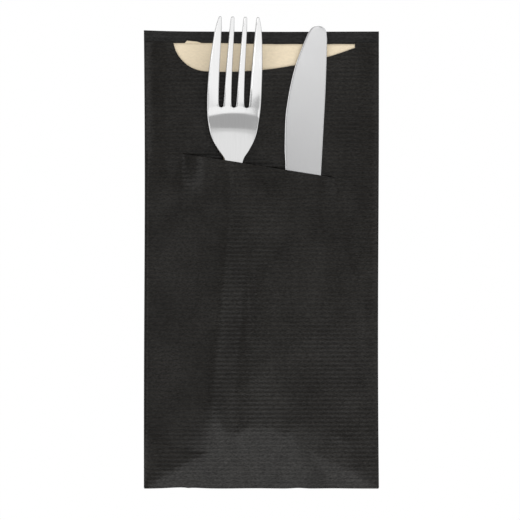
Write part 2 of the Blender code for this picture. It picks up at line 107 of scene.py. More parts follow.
# Thumb notch and slit of the front panel
NOTCH_RIGHT = 42.8 * MM
NOTCH_DEEPEST = -17.2 * MM
NOTCH_DEPTH = 13.8 * MM
NOTCH_RADIUS = 168 * MM
NOTCH_END = -25.0 * MM
NOTCH_END_RADIUS = 15.5 * MM
SLIT_LEFT = -36.9 * MM
SLIT_RIGHT = 34.3 * MM
SLIT_UP = 148.1 * MM
SLIT_FALL = 0.1573  # how steeply it falls to the right
SLIT_FADE = 6 * MM  # past its two ends the panel lifts fully only this far below its line
TENT_FADE = 22 * MM  # the same for the paper's fall beside fork and knife

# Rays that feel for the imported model's highest face
RAY_TOP = POUCH_HIGH.z + 5 * MM
RAY_SKIP = 0.03 * MM

# Wrinkles: from and to as (across, up), width, height, all in millimetres
WRINKLES = (
    ((-46, 68), (-36, 59), 1.6, 0.16),
    ((-48, 41), (-29, 27), 2.0, 0.20),
    ((-44, 36), (-33, 29), 1.5, -0.12),
    ((40, 96), (47, 89), 1.5, 0.16),
    ((33, 25), (43, 20), 1.8, 0.16),
    ((-36.5, 150), (-37.5, 172), 2.2, -0.10),
    ((34.5, 146), (38, 170), 2.2, -0.10),
    ((41, 120), (44, 60), 2.5, -0.14),
    ((-43, 130), (-44, 50), 2.5, -0.14),
    ((-30, 2), (-21, 20), 3.0, 0.10),
    ((20, 2), (33, 14), 3.0, 0.10),
)
RIDGE = ((-2, 30), (-8, 125), 17.0, 2.2)  # a broad wrinkle of the panel below the slit
WRINKLE_END = 0.35  # a wrinkle's height at its two ends, as a share of its middle's
DRIFTS = ((0.42 * MM, 24 * MM), (0.11 * MM, 9 * MM))  # height and span of the paper's unevenness
DRIFT_UP = 0.7  # it changes this much slower up the pouch than across
PULL_IN = 0.27 * MM  # how far the side folds draw in at mid-length
SWAY = 0.17 * MM  # how far the pouch's middle line leaves a straight one, to either side
# How far the ends stand away from straight lines: across, width, distance in millimetres
TOP_WAVES = ((-56, 12, 0.55), (10, 30, -0.16))
BOTTOM_WAVES = (
    (-36, 9, 0.55), (-33.5, 1.5, -0.25), (-3, 10, 0.15), (17, 3.5, 0.30), (33, 8, 0.12),
)
TOP_WAVES_FROM = 0.75  # of the pouch's length
BOTTOM_WAVES_FADE = 3 * MM

# Napkin, folded in eight
PLY = 0.055 * MM
EDGE_PRESS = 0.35  # its thickness at the side and bottom edges, as a share of the middle's
PRESS_SKIP = 2 * MM  # how far below the bottom edge the press begins
PLY_SHIFT = 0.10 * MM  # from the middle of a double leaf to each of its plies
LEAF = 0.36 * MM
LEAVES = 4
LEAF_ORDER = (0, 3, 2, 1)  # how the paper runs through them, the lowest being leaf 0
LEAF_COLUMNS = 64
CREASE_STEPS = 6
SHOWN_LENGTH = 22 * MM  # its upper end has closer rows
NAPKIN_DRIFT, NAPKIN_DRIFT_SPAN = 0.07 * MM, 11 * MM
NAPKIN_TOP_GAP = 0.08 * MM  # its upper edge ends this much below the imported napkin's
NAPKIN_STEP = (-24 * MM, 28 * MM, 0.48 * MM)  # its upper edge falls to the right: from, over, by
LEAF_SHIFTS = (-0.6 * MM, 0.0, -0.9 * MM, -0.3 * MM)
PLY_LOW = 0.35 * MM  # how much lower the inner ply ends
TEAR_HEIGHT, TEAR_SPAN = 0.12 * MM, 5 * MM  # unevenness of the upper edges
TEAR_LEAF, TEAR_PLY = 3.7, 9.0  # steps in the noise between leaves, and between plies
TAB_LEFT, TAB_RIGHT = -34.9 * MM, -26.5 * MM  # the inner ply's torn-off corner stands up here
TAB_HEIGHT = 1.5 * MM
TAB_FALL = 0.55  # its height on the right, as a share of that on the left
TAB_TEAR = 2.4 * MM

# Fork and knife, as (from_tip, size) stations
FORK_LENGTH = 0.190
FORK_BOWL = (-0.0130, 0.1693)  # on the pouch, where its bowl rests
FORK_BOWL_FROM_TIP = 0.0478
FORK_ROLL = math.radians(11.5)
FORK_YAW = math.radians(-1.0)
FORK_WIDTH = (
    (0.0, 0.0186), (0.0074, 0.0219), (0.027, 0.0251), (0.037, 0.0254), (0.0432, 0.0250),
    (0.0524, 0.0226), (0.057, 0.0197), (0.0616, 0.0146), (0.0662, 0.0088), (0.072, 0.0068),
    (0.082, 0.0062), (0.100, 0.0070), (0.130, 0.0102), (0.160, 0.0142), (0.178, 0.0164),
)
FORK_HEIGHT = (
    (0.0, 0.0100), (0.0074, 0.0081), (0.027, 0.0029), (0.034, 0.0016), (0.041, 0.00065),
    (0.0478, 0.0), (0.057, 0.00085), (0.066, 0.0031), (0.078, 0.0042), (0.100, 0.0039),
    (0.130, 0.0027), (0.160, 0.0012), (0.190, 0.0),
)
FORK_THICKNESS = (
    (0.0, 0.0012), (0.020, 0.0017), (0.050, 0.0018), (0.070, 0.0026), (0.090, 0.0026),
    (0.130, 0.0022), (0.190, 0.0018),
)
FORK_DISH = ((0.0, 0.0003), (0.025, 0.0005), (0.048, 0.0005), (0.066, 0.0), (0.190, 0.0))
FORK_RIM = 0.35  # the thickness at its edges, as a share of the full one
FORK_EDGE_ROUND = 0.00032
ROOT_SHARP = 0.0030  # this near to the slots' roots their edges lose the rounding
FORK_ARCH = 0.0014  # how much further from the tips the bowl's bend lies at its edges
ARCH_FROM, ARCH_GROWTH = 0.032, 0.010
ARCH_UNTIL, ARCH_DECLINE = 0.044, 0.008
TINE_LINES = 10
TINE_ROUND = 0.0008
TINE_TIP_SHARE = 0.6  # of the tine's width, left at its tip
TIP_CUT = 0.0008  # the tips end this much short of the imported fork's
TIP_SHARES = (0.0, 0.05, 0.15, 0.3, 0.5, 0.75, 1.0)
SLOT_SPACING = 0.00595
SLOT_ROOT = 0.0423
SLOT_WIDTH = ((0.0, 0.0044), (0.0074, 0.0037), (0.027, 0.0029), (0.034, 0.0026), (0.0423, 0.0021))
SLOT_ROOT_ROUND = SLOT_WIDTH[-1][1] / 2
HEAD_FROM_TIP = 0.068
END_ROUND = 0.010  # of both handles
END_WIDTH = 0.05  # the share of a handle's width left at its very end
ROUND_STEPS = 8
KNIFE_LENGTH = 0.188
KNIFE_TIP = (0.0311, 0.2121)  # on the pouch
KNIFE_YAW = math.radians(-3.15)
BLADE_MIDDLE = (0.0191, 0.1524)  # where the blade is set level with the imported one
BLADE_LENGTH = 0.098
BLADE_SPINE = 0.0018
BLADE_EDGE = 0.0006
BLADE_POINT = 0.0011
EDGE_ROUND = (0.25, 0.9 * MM)  # share of the thickness left at the edge, width of the round
BACK_ROUND = (0.6, 0.35 * MM)
POINT_LENGTH = 0.0063
POINT_STEPS = 14
HANDLE_THICKNESS = ((0.108, 0.0030), (0.178, 0.0038))
HANDLE_RIM = 0.5
HANDLE_CROWN = (2.6, 2.2)  # powers, for a flat middle and full sides
KNIFE_BELLY = (
    (0.0, -0.0052), (0.0002, -0.0064), (0.0005, -0.0072), (0.0010, -0.0079), (0.0027, -0.0091),
    (0.0063, -0.0106), (0.0178, -0.0143), (0.0247, -0.0158), (0.0339, -0.0171), (0.0431, -0.0178),
    (0.0569, -0.0174), (0.0638, -0.0167), (0.085, -0.0156), (0.098, -0.0149), (0.104, -0.0126),
    (0.120, -0.0130), (0.150, -0.0148), (0.182, -0.0160),
)
KNIFE_BACK = (
    (0.0, -0.0042), (0.0002, -0.0032), (0.0005, -0.0026), (0.0010, -0.0020), (0.0027, -0.0011),
    (0.0063, -0.0006), (0.0155, -0.0003), (0.034, 0.0), (0.098, 0.0), (0.104, -0.0016),
    (0.120, -0.0012), (0.150, -0.0002), (0.182, 0.0006),
)

# Colours, linear
KRAFT_BLACK = (0.0048, 0.0037, 0.0023)
KRAFT_INSIDE = (0.0070, 0.0066, 0.0060)
# The cut edges are painted lighter than the faces, as a painted highlight where they catch light
KRAFT_EDGE_HIGHLIGHT = (0.022, 0.021, 0.020)
TISSUE_CREAM = (0.845, 0.725, 0.535)
STEEL = (0.63, 0.63, 0.63)
STEEL_SATIN = (0.62, 0.62, 0.625)
FLOOR_WHITE = (0.95, 0.95, 0.95)

# Low and high values of the patterns
THREAD_VALUES = (0.42, 0.78)
NOISE_VALUES = (0.3, 0.7)
WAVE_VALUES = (-1.0, 1.0)
DOT_VALUES = (0.1, 0.6)

# Finishes: what a pattern's low and high values become, as a tone or a roughness
KRAFT_GLOSS = 0.27
KRAFT_THREADS = (0.62, 1.50)
KRAFT_CLOUDS = (0.84, 1.18)
KRAFT_ROUGH = (0.28, 0.36)
# Painted shading of the ribs: their tone is lighter on the crests and darker in the grooves
RIB_PAINTED_SHADING = (0.6, 1.4)
RIB_ROUGH = (0.03, -0.03)
TISSUE_THREADS = (0.94, 1.05)
TISSUE_CLOUDS = (0.96, 1.04)
TISSUE_ROUGH = (0.88, 1.0)
TISSUE_GLOSS = 0.2
STEEL_LINES = (0.97, 1.02)
FLOOR_MOTTLE = (0.995, 1.005)
FLOOR_ROUGH = 0.9
FLOOR_GLOW = 0.985  # share of plain white in what camera and steel see of the floor

# Studio: level light panels over the table, as left, right, low, high and brightness
PANEL_HEIGHT = 1.0
SOFT_PANELS = (
    ("front_far", -0.45, 1.60, -2.10, -0.95, 0.84),
    ("front_middle", -0.42, 0.23, -0.95, -0.41, 2.20),
    ("front_near", -0.10, 0.20, -0.41, -0.19, 1.50),
    ("front_right", 0.23, 1.60, -0.95, -0.142, 0.84),
    ("right_far", 0.75, 1.60, -0.142, 0.30, 0.84),
    ("rear_right", 0.23, 1.60, 0.36, 1.60, 0.61),
    ("rear_right_edge", 0.23, 1.60, 0.30, 0.36, 0.31),
    ("rear_middle", -0.15, 0.23, 0.105, 1.60, 0.78),
    ("left", -1.40, -0.62, -0.41, 0.60, 1.30),
)
ROOM_LEVEL = 0.56
PHOTO_SPAN = 0.2389  # what the picture's width covers on the pouch
CAMERA_LEFT = 0.64 * MM
CAMERA_HEIGHT = 3.0
CAMERA_REACH = 20.0
SENSOR = 36.0
FLOOR_SIDE = 6.0
FLOOR_GAP = 0.1 * MM


# Numbers


def clamp(value, low=0.0, high=1.0):
    return max(low, min(high, value))


def mix(first, second, share):
    return first + (second - first) * share


def ease(share):
    share = clamp(share)
    return share * share * (3 - 2 * share)


def bell(distance, width):
    return math.exp(-((distance / width) ** 2))


def through(stations, place):
    """A smooth curve through (place, value) stations, with no overshoot between them."""
    if place <= stations[0][0]:
        return stations[0][1]
    if place >= stations[-1][0]:
        return stations[-1][1]
    steps = [
        (after[1] - before[1]) / (after[0] - before[0])
        for before, after in zip(stations, stations[1:])
    ]
    slopes = [steps[0]]
    for before, after in zip(steps, steps[1:]):
        slopes.append(0.0 if before * after <= 0 else 2 * before * after / (before + after))
    slopes.append(steps[-1])
    index = next(i for i in range(len(steps)) if place <= stations[i + 1][0])
    span = stations[index + 1][0] - stations[index][0]
    share = (place - stations[index][0]) / span
    rest = 1 - share
    return (
        stations[index][1] * rest * rest * (1 + 2 * share)
        + stations[index + 1][1] * share * share * (1 + 2 * rest)
        + slopes[index] * span * share * rest * rest
        - slopes[index + 1] * span * share * share * rest
    )


def end_round(from_end, radius):
    """Share of the full width left this far from a rounded end."""
    if from_end >= radius:
        return 1.0
    return math.sqrt(max(0.0, 1 - (1 - from_end / radius) ** 2))


def spread(low, high, count):
    return [mix(low, high, index / count) for index in range(count + 1)]


def rounded_spread(low, high, count):
    """Places from low to high, close together at both ends."""
    return [mix(low, high, (1 - math.cos(math.pi * i / count)) / 2) for i in range(count + 1)]


def round_up_to(end, radius):
    """Places up to a rounded end, close together at it."""
    angles = spread(0.0, math.pi / 2, ROUND_STEPS)[1:]
    return [end - radius * (1 - math.sin(angle)) for angle in angles]


# Meshes


def new_grid(columns, rows):
    """A flat grid with its columns and rows at these places."""
    build = bmesh.new()
    wide, tall = len(columns) - 1, len(rows) - 1
    bmesh.ops.create_grid(build, x_segments=wide, y_segments=tall, size=1.0)
    for vert in build.verts:
        column = round((vert.co.x + 1) / 2 * wide)
        row = round((vert.co.y + 1) / 2 * tall)
        vert.co = columns[column], rows[row], 0.0
    return build


def new_piece(build, name, materials):
    """A finished piece that rides on the object's one body."""
    mesh = bpy.data.meshes.new(name)
    build.to_mesh(mesh)
    build.free()
    mesh.shade_smooth()
    for material in materials:
        mesh.materials.append(material)
    piece = bpy.data.objects.new(name, mesh)
    bpy.context.scene.collection.objects.link(piece)
    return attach(piece, "root")


def add_thickness(piece, thickness, offset, inside=0, rim=0):
    wall = piece.modifiers.new("thickness", "SOLIDIFY")
    wall.thickness = thickness
    wall.offset = offset
    wall.material_offset = inside
    wall.material_offset_rim = rim


def cut(build, faces, point, normal):
    """Cuts faces along a plane. Gives the faces on the normal's side, and the edges of the cut."""
    around = {*faces}
    for face in faces:
        around.update(face.edges, face.verts)
    made = bmesh.ops.bisect_plane(
        build, geom=list(around), dist=ON_PLANE, plane_co=point, plane_no=normal
    )
    kept = [
        item for item in made["geom"]
        if isinstance(item, bmesh.types.BMFace)
        and (item.calc_center_median() - Vector(point)).dot(Vector(normal)) > 0
    ]
    edges = [item for item in made["geom_cut"] if isinstance(item, bmesh.types.BMEdge)]
    return kept, edges


# The front panel's shape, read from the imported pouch


class BelowSlit:
    """Heights below the slit, by across and way down from it.

    They are felt for at every STEP, stretched over their high places where a slope is given, and
    smoothed with a blur of so many steps across and down.
    """

    STEP = 1.0 * MM
    INSET = 0.4 * MM
    LAST = 1.001  # keeps a lookup in front of the last row or column

    def __init__(self, height_at, blur, slope=None):
        across = round(2 * HALF / self.STEP) + 1
        down = round(slit_up(-HALF) / self.STEP) + 1
        heights = np.zeros((across, down))
        for i in range(across):
            x = clamp(-HALF + i * self.STEP, self.INSET - HALF, HALF - self.INSET)
            for j in range(down):
                up = max(slit_up(x) - self.INSET - j * self.STEP, self.INSET)
                heights[i, j] = height_at(x, up)
        if slope:
            heights = self.tented(heights, slope)
        for axis, steps in enumerate(blur):
            heights = self.blurred(heights, axis, steps)
        self.heights = heights

    def tented(self, heights, slope):
        """Stretched over the high places, so that it falls away from them with this slope."""
        across, down = heights.shape
        reach = math.ceil(heights.max() / slope / self.STEP)
        padded = np.pad(heights, reach)
        tent = heights.copy()
        for i in range(-reach, reach + 1):
            for j in range(-reach, reach + 1):
                fall = slope * self.STEP * math.hypot(i, j)
                near = padded[reach + i:reach + i + across, reach + j:reach + j + down]
                np.maximum(tent, near - fall, out=tent)
        return tent

    @staticmethod
    def blurred(heights, axis, blur):
        reach = math.ceil(3 * blur)
        weights = np.exp(-0.5 * (np.arange(-reach, reach + 1) / blur) ** 2)
        padding = [(0, 0), (0, 0)]
        padding[axis] = (reach, reach)
        padded = np.pad(heights, padding, mode="edge")
        return np.apply_along_axis(
            lambda line: np.convolve(line, weights / weights.sum(), mode="valid"), axis, padded
        )

    def height(self, x, down):
        across, rows = self.heights.shape
        i = clamp((x + HALF) / self.STEP, 0, across - self.LAST)
        j = clamp((down - self.INSET) / self.STEP, 0, rows - self.LAST)
        column, row = int(i), int(j)
        near = mix(self.heights[column, row], self.heights[column + 1, row], i - column)
        far = mix(self.heights[column, row + 1], self.heights[column + 1, row + 1], i - column)
        return mix(near, far, j - row)


def solid_of(*names):
    """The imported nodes' faces, to cast rays at."""
    verts, faces = [], []
    for name in names:
        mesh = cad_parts[name].data
        faces += [[len(verts) + index for index in face.vertices] for face in mesh.polygons]
        verts += [vert.co for vert in mesh.vertices]
    return BVHTree.FromPolygons(verts, faces)


def drop(solid, x, up):
    """The highest face of the solid here; two rays, because one may slip past an edge."""
    hits = [
        solid.ray_cast(Vector((x + skip, POUCH_LOW.y + up + skip, RAY_TOP)), Vector((0, 0, -1)))[0]
        for skip in (0.0, RAY_SKIP)
    ]
    return max((hit.z for hit in hits if hit), default=0.0)


def slit_up(x):
    return SLIT_UP - SLIT_FALL * x


def napkin_swell(x):
    """From 0 at the napkin's side edges, where its leaves are pressed flat, to 1."""
    return ease((HALF - STRIP - abs(x)) / SIDE_SLOPE)


def napkin_press(x, up):
    """The napkin's thickness here, as a share of its middle's."""
    from_end = up - (NAPKIN_LOW.y - POUCH_LOW.y) + PRESS_SKIP
    return mix(EDGE_PRESS, 1.0, napkin_swell(x) * ease(from_end / SIDE_SLOPE))


def napkin_top(x, up):
    if abs(x) > NAPKIN_HIGH.x or up < NAPKIN_LOW.y - POUCH_LOW.y:
        return 0.0
    return NAPKIN_LOW.z + (NAPKIN_HIGH.z - NAPKIN_LOW.z) * napkin_press(x, up)


def wrinkle_height(x, up):
    """Wrinkles and broad unevenness of the front panel, gone at its folds."""
    height = sum(wrinkle_rise(x, up, *wrinkle) for wrinkle in WRINKLES)
    for rise, span in DRIFTS:
        height += rise * noise.noise(Vector((x, up * DRIFT_UP, 0.0)) / span)
    return height * ease((HALF - abs(x)) / SIDE_SLOPE) * ease(up / SIDE_SLOPE)


def wrinkle_rise(x, up, start, end, width, rise):
    """Height of one wrinkle here, highest at half its length."""
    here, start, end = Vector((x, up)) / MM, Vector(start), Vector(end)
    along = end - start
    share = clamp((here - start).dot(along) / along.length_squared)
    off = (here - start - along * share).length
    return rise * MM * bell(off, width) * mix(WRINKLE_END, 1.0, math.sin(math.pi * share))


def lower_end(x, up):
    """The facet that rises from the bottom fold, and the flanks that run into the corners."""
    reach = HALF + FACET_MIDDLE if x < FACET_MIDDLE else HALF - FACET_MIDDLE
    meet = FACET_UP * (1 - abs(x - FACET_MIDDLE) / reach)
    facet = FACET_SLOPE * up
    flank = (FACET_SLOPE - FLANK_SLOPE) * meet + FLANK_SLOPE * up
    return EDGE_TOP + lower_of(facet, flank, up)


def lower_of(first, second, up):
    """The lower of two heights, blended where they meet, less so near the bottom fold."""
    softness = min(FACET_SOFTNESS, up / 4)
    return (first + second - math.hypot(first - second, softness)) / 2


def free_share(x, down, fade):
    """How freely the panel lifts below the slit. Past its two ends, uncut paper holds it down."""
    inside = ease(min(x - SLIT_LEFT, SLIT_RIGHT - x) / (fade / 2))
    return mix(ease(down / fade), 1.0, inside)


class FrontPanel:
    """The outer face of the front panel."""

    def __init__(self):
        packed = solid_of("pouch")
        steel = solid_of("fork", "knife")

        def over_steel(x, up):
            return drop(steel, x, up) + HANDLE_COVER

        self.below = BelowSlit(lambda x, up: drop(packed, x, up), blur=(1.3, 2.6))
        self.over_handles = BelowSlit(over_steel, blur=(1.3, 1.3), slope=TENT_SLOPE)
        self.flat = drop(packed, 0.0, (SLIT_UP + LENGTH - LIP - NOTCH_DEPTH) / 2)

    def height(self, x, up, below):
        strip = mix(EDGE_TOP, STRIP_TOP, clamp((HALF - abs(x)) / STRIP))
        height = mix(strip, self.flat, napkin_swell(x))
        down = slit_up(x) - up
        if below:
            lift = max(self.below.height(x, down) - self.flat, 0.0) * free_share(x, down, SLIT_FADE)
            height += lift + wrinkle_rise(x, up, *RIDGE) * napkin_swell(x)
            height = lower_of(height, lower_end(x, up), up)
        height = max(height + wrinkle_height(x, up), napkin_top(x, up) + NAPKIN_COVER)
        if below:
            tent = max(self.over_handles.height(x, down) - height, 0.0)
            height += tent * free_share(x, down, TENT_FADE)
        return height


# Pouch: one sheet, worked flat, across by up, and then folded


def notch_lines():
    """Points on the notch's edge, each with the direction into the notch."""
    edge = LENGTH - LIP
    wide_up = edge - NOTCH_DEPTH + NOTCH_RADIUS
    inner = NOTCH_RADIUS - NOTCH_END_RADIUS
    end_up = wide_up - math.sqrt(inner**2 - (NOTCH_END - NOTCH_DEEPEST) ** 2)
    meet = math.atan2(end_up - wide_up, NOTCH_END - NOTCH_DEEPEST)
    start = -math.acos((NOTCH_RIGHT - NOTCH_DEEPEST) / NOTCH_RADIUS)
    arcs = (
        (NOTCH_DEEPEST, wide_up, NOTCH_RADIUS, spread(start, meet, 28)),
        (NOTCH_END, end_up, NOTCH_END_RADIUS, spread(meet, -math.pi, 20)),
    )
    lines = [((NOTCH_RIGHT, edge, 0.0), (-1.0, 0.0, 0.0))]
    for x, up, radius, angles in arcs:
        for angle in angles:
            outward = Vector((math.cos(angle), math.sin(angle), 0.0))
            lines.append((Vector((x, up, 0.0)) + outward * radius, -outward))
    return lines


def cut_notch(build):
    lowest = LENGTH - LIP - NOTCH_DEPTH
    inside = [
        face for face in build.faces
        if abs(face.calc_center_median().x) < HALF and face.calc_center_median().y > lowest - RIB
    ]
    for point, normal in notch_lines():
        inside = cut(build, inside, point, normal)[0]
    bmesh.ops.delete(build, geom=inside, context="FACES")


def cut_slit(build):
    """Cuts the slit and parts its two edges. Gives the points that lie below it."""
    crossed = [
        face for face in build.faces
        if SLIT_LEFT < face.calc_center_median().x < SLIT_RIGHT
        and abs(face.calc_center_median().y - slit_up(face.calc_center_median().x)) < 2 * RIB
    ]
    edges = cut(build, crossed, (0.0, SLIT_UP, 0.0), (SLIT_FALL, 1.0, 0.0))[1]
    bmesh.ops.split_edges(build, edges=edges)
    below = set()
    for face in build.faces:
        middle = face.calc_center_median()
        if middle.y < slit_up(middle.x):
            below.update(vert for vert in face.verts if vert.co.y < slit_up(vert.co.x) + SAME)
    return below


def trim_flap(build):
    """The bottom flap is as wide as the front panel, and its corners are cut off."""
    side = HALF - SIDE_TURN
    beyond = [
        face for face in build.faces
        if face.calc_center_median().y < 0 and abs(face.calc_center_median().x) > side
    ]
    bmesh.ops.delete(build, geom=beyond, context="FACES")
    for sign in (-1, 1):
        flap = [face for face in build.faces if face.calc_center_median().y < 0]
        point = (sign * (side - FLAP_CORNER), -FLAP, 0.0)
        corner = cut(build, flap, point, (sign, -1.0, 0.0))[0]
        bmesh.ops.delete(build, geom=corner, context="FACES")


def fold(across, up, below, panel):
    """Where a point of the flat sheet lies on the folded pouch."""
    rib = RIB_HEIGHT / 2 * math.cos(2 * math.pi * up / RIB)
    past = abs(across) - (HALF - SIDE_TURN)
    if past < SAME:
        return place_on_table(*front_point(across, up, rib, below, panel))
    if past < 2 * SIDE_TURN:
        reach, z = side_point(past / SIDE_BEND, rib)
    else:
        reach = HALF - SIDE_BEND - (past - 2 * SIDE_TURN)
        z = back_height(reach, up, rib, across < 0)
    side = math.copysign(1.0, across)
    return place_on_table(side * reach, mix(BOTTOM_BEND, LENGTH, up / LENGTH), z)


def front_point(across, up, rib, below, panel):
    """A point of the front panel, of the bottom fold or of the flap behind it."""
    x = across * (HALF - SIDE_BEND) / (HALF - SIDE_TURN)
    level = panel.height(x, max(up, 0.0), below)
    if up >= BOTTOM_TURN:
        return x, up, level + rib
    angle = min((BOTTOM_TURN - up) / BOTTOM_BEND, math.pi)
    z = mix(BOTTOM_BEND, level - BOTTOM_BEND, ease(1 - angle / math.pi))
    z += (BOTTOM_BEND + rib) * math.cos(angle)
    if up < -BOTTOM_TURN:
        return x, BOTTOM_BEND - BOTTOM_TURN - up, z
    return x, BOTTOM_BEND - (BOTTOM_BEND + rib) * math.sin(angle), z


def side_point(angle, rib):
    """Distance from the middle and height of a point on a side fold."""
    radius = SIDE_BEND + rib * (1 - FOLD_PRESS * math.sin(angle))
    return (
        HALF - SIDE_BEND + radius * math.sin(angle),
        BACK_FACE + SIDE_BEND + radius * math.cos(angle),
    )


def back_height(reach, up, rib, on_left):
    """Height of the back panel's outer face; its left half lies outside at the seam."""
    z = BACK_FACE - rib
    over_seam = 1 - ease((abs(reach) - SEAM / 2) / SEAM_STEP)
    over_flap = 1 - ease((up - FLAP) / SEAM_STEP)
    if on_left:
        z -= BACK_FACE * (1 - ease((reach - SEAM / 2) / SEAM_STEP)) - rib * over_seam
    return z + BACK_FACE * over_flap * over_seam


def place_on_table(x, up, z):
    """Bends the straight pouch a little, as lying paper does."""
    share = clamp(up / LENGTH)
    across = x * (1 - PULL_IN / HALF * math.sin(math.pi * share))
    across -= SWAY * math.sin(2 * math.pi * share)
    y = up + waves(BOTTOM_WAVES, x) * bell(up, BOTTOM_WAVES_FADE)
    y += waves(TOP_WAVES, x) * ease((share - TOP_WAVES_FROM) / (1 - TOP_WAVES_FROM))
    return Vector((across, POUCH_LOW.y + y, z))


def waves(bumps, x):
    return sum(rise * bell(x / MM - middle, width) for middle, width, rise in bumps) * MM


def make_pouch(panel, materials):
    back_edge = 2 * HALF + SEAM / 2
    fold_near, fold_far = HALF - SIDE_TURN, HALF + SIDE_TURN
    by_seam = 2 * HALF - SEAM
    across = {*spread(-fold_near, fold_near, 64), SLIT_LEFT, SLIT_RIGHT}
    for run in ((fold_near, fold_far, 6), (fold_far, by_seam, 4), (by_seam, back_edge, 8)):
        across.update(side * place for side in (-1, 1) for place in spread(*run))
    step = RIB / ROWS_PER_RIB
    count = round(LENGTH / step)
    edge = LENGTH - LIP
    ups = sorted({
        *(index * step for index in range(2, count + 1) if abs(index * step - edge) > step / 2),
        *(-FLAP + index * step for index in range(round(FLAP / step) - 1)),
        *spread(-BOTTOM_TURN, BOTTOM_TURN, 8), edge,
    })
    build = new_grid(sorted(across), ups)
    above_lip = [
        face for face in build.faces
        if face.calc_center_median().y > edge and abs(face.calc_center_median().x) < HALF
    ]
    bmesh.ops.delete(build, geom=above_lip, context="FACES")
    trim_flap(build)
    cut_notch(build)
    below = cut_slit(build)
    for vert in build.verts:
        vert.co = fold(vert.co.x, vert.co.y, vert in below, panel)
    pouch = new_piece(build, "pouch_paper", materials)
    add_thickness(pouch, PAPER, -1.0, inside=1, rim=2)
    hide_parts("pouch")


# Napkin


def napkin_line():
    """Section of the double leaf, folded in half twice: place, direction out and leaf of each."""
    levels = spread(NAPKIN_LOW.z + LEAF / 2, NAPKIN_HIGH.z - LEAF / 2, LEAVES - 1)
    right = NAPKIN_HIGH.x - LEAF / 2 - (levels[-1] - levels[0]) / 2
    left = NAPKIN_LOW.x + LEAF / 2 + (levels[1] - levels[0]) / 2
    points = []
    for index, leaf in enumerate(LEAF_ORDER):
        start, end = (right, left) if index % 2 else (left, right)
        way = math.copysign(1.0, end - start)
        height = levels[leaf]
        points += [(x, height, 0.0, -way, leaf) for x in spread(start, end, LEAF_COLUMNS)]
        if index == LEAVES - 1:
            break
        after = levels[LEAF_ORDER[index + 1]]
        radius = abs(after - height) / 2
        rising = math.copysign(1.0, after - height)
        for angle in spread(0.0, math.pi, CREASE_STEPS)[1:-1]:
            points.append((
                end + way * radius * math.sin(angle),
                (height + after) / 2 - rising * radius * math.cos(angle),
                rising * math.sin(angle), -way * math.cos(angle), leaf,
            ))
    return points


def leaf_top(x, leaf, inner):
    """Where the upper edge of a leaf's outer or inner ply lies."""
    start, span, fall = NAPKIN_STEP
    top = NAPKIN_HIGH.y + LEAF_SHIFTS[leaf] - NAPKIN_TOP_GAP - fall * ease((x - start) / span)
    if inner:
        top -= PLY_LOW
    if inner and leaf == LEAVES - 1:
        along = clamp((x - TAB_LEFT) / (TAB_RIGHT - TAB_LEFT))
        tab = mix(1.0, TAB_FALL, along) * (x > TAB_LEFT) * ease((TAB_RIGHT - x) / TAB_TEAR)
        top += (TAB_HEIGHT + PLY_LOW) * tab
    place = Vector((x / TEAR_SPAN, leaf * TEAR_LEAF, inner * TEAR_PLY))
    return top + TEAR_HEIGHT * noise.noise(place)


def make_napkin(material):
    line = napkin_line()
    length = NAPKIN_HIGH.y - NAPKIN_LOW.y
    shown = spread(0.0, SHOWN_LENGTH, 22)
    hidden = spread(SHOWN_LENGTH, length - PLY_SHIFT, 14)[1:]
    turn = [length + PLY_SHIFT * index for index in (1, 2, 3)]
    back = [2 * length - way for way in (*reversed(hidden), *reversed(shown))]
    down = [*shown, *hidden, *turn, *(way + 4 * PLY_SHIFT for way in back)]
    build = new_grid(list(range(len(line))), down)
    whole = length + 2 * PLY_SHIFT
    for vert in build.verts:
        x, z, out_x, out_z, leaf = line[round(vert.co.x)]
        way = vert.co.y
        angle = clamp((way - length + PLY_SHIFT) / (4 * PLY_SHIFT)) * math.pi
        shift = PLY_SHIFT * math.cos(angle)
        from_top = min(way, 2 * whole - way)
        top = leaf_top(x, leaf, way > whole)
        bottom = NAPKIN_LOW.y + PLY_SHIFT - PLY_SHIFT * math.sin(angle)
        y = mix(top, bottom, clamp(from_top / length))
        rise = NAPKIN_DRIFT * noise.noise(Vector((x, y, 0.0)) / NAPKIN_DRIFT_SPAN)
        press = napkin_press(x, y - POUCH_LOW.y)
        level = NAPKIN_LOW.z + (z + out_z * shift - NAPKIN_LOW.z) * press
        vert.co = x + out_x * shift, y, level + rise * press
    napkin = new_piece(build, "napkin_tissue", [material])
    add_thickness(napkin, PLY, 0.0)
    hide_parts("napkin")


# Fork, in its own frame: tips at y = 0, handle towards -y, hollow of the bowl facing up


@functools.cache
def fork_half(from_tip):
    full = through(FORK_WIDTH, from_tip) / 2
    return full * max(END_WIDTH, end_round(FORK_LENGTH - from_tip, END_ROUND))


@functools.cache
def tine_sides(from_tip):
    """Left and right edge of each of the four tines."""
    half = through(SLOT_WIDTH, from_tip) / 2
    half *= end_round(max(SLOT_ROOT - from_tip, 0.0), SLOT_ROOT_ROUND)
    edges = [-fork_half(from_tip)]
    for centre in (-SLOT_SPACING, 0.0, SLOT_SPACING):
        edges += [centre - half, centre + half]
    edges.append(fork_half(from_tip))
    share = max(TINE_TIP_SHARE, end_round(max(from_tip - TIP_CUT, 0.0), TINE_ROUND))
    sides = []
    for left, right in zip(edges[::2], edges[1::2]):
        middle, reach = (left + right) / 2, (right - left) / 2 * share
        sides.append((middle - reach, middle + reach))
    return sides


@functools.cache
def fork_lines(from_tip):
    """The lines that run along the fork, as many on each tine, each with its share of the tine."""
    tines = [x for sides in tine_sides(from_tip) for x in rounded_spread(*sides, TINE_LINES)]
    half = fork_half(from_tip)
    plain = rounded_spread(-half, half, len(tines) - 1)
    head = 1 - ease((from_tip - SLOT_ROOT) / (HEAD_FROM_TIP - SLOT_ROOT))
    return [mix(even, line, head) for even, line in zip(plain, tines)]


